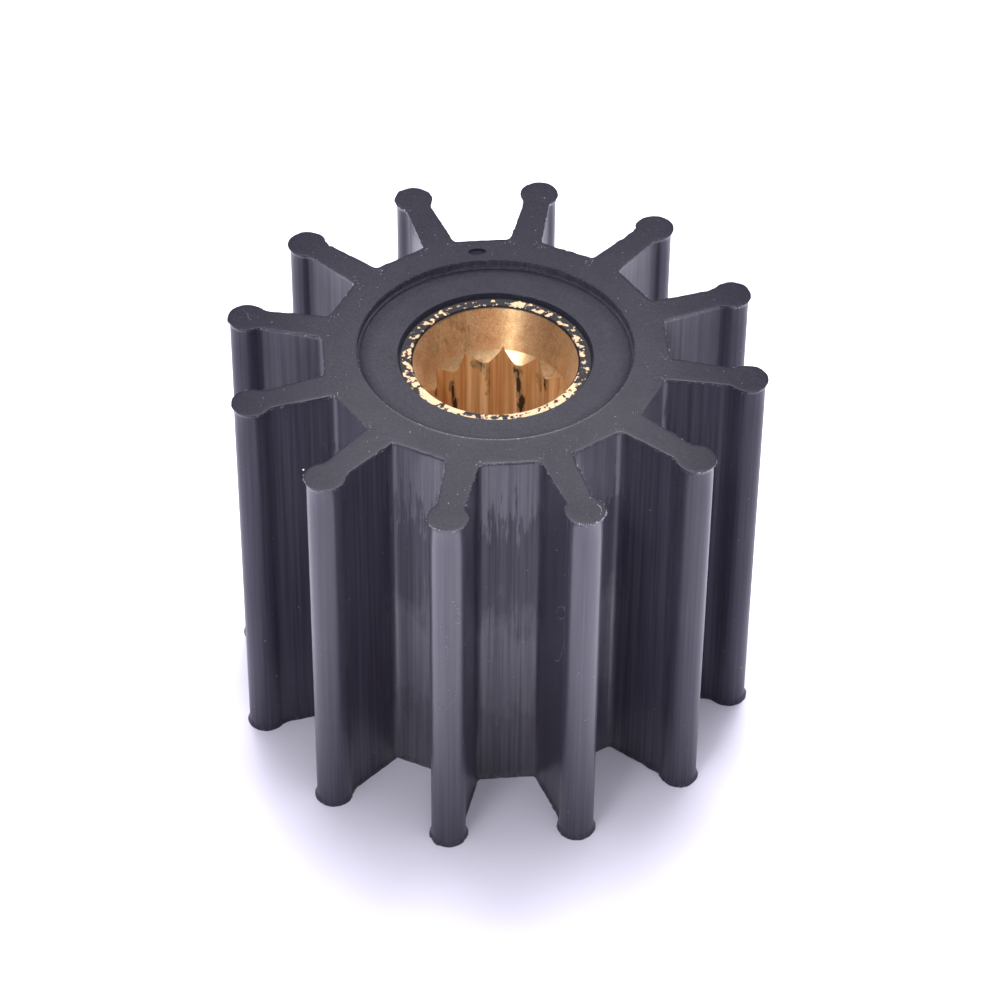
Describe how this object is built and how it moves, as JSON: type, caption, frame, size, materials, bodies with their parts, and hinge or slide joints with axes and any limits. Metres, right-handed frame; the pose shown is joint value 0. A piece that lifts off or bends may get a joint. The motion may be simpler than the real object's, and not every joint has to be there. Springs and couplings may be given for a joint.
{
  "type": "rubber pump impeller",
  "caption": "Flexible rubber impeller for a marine water pump: straight blades with rounded tips on a hub, moulded over a bronze insert with a splined bore.",
  "frame": {"origin": "centre of the lower end of the rubber moulding, on the axis of rotation", "axes": "+Z along the axis of rotation, +X along the middle of one blade"},
  "size_m": [0.0656, 0.0656, 0.0528],
  "materials": {
    "moulded_rubber": "moulded, satin sides and matt ends",
    "cast_bronze": "as cast lead-in, broached splines"
  },
  "bodies": {
    "root": {"rubber_impeller": "moulded_rubber", "splined_insert": "cast_bronze"}
  },
  "joints": []
}
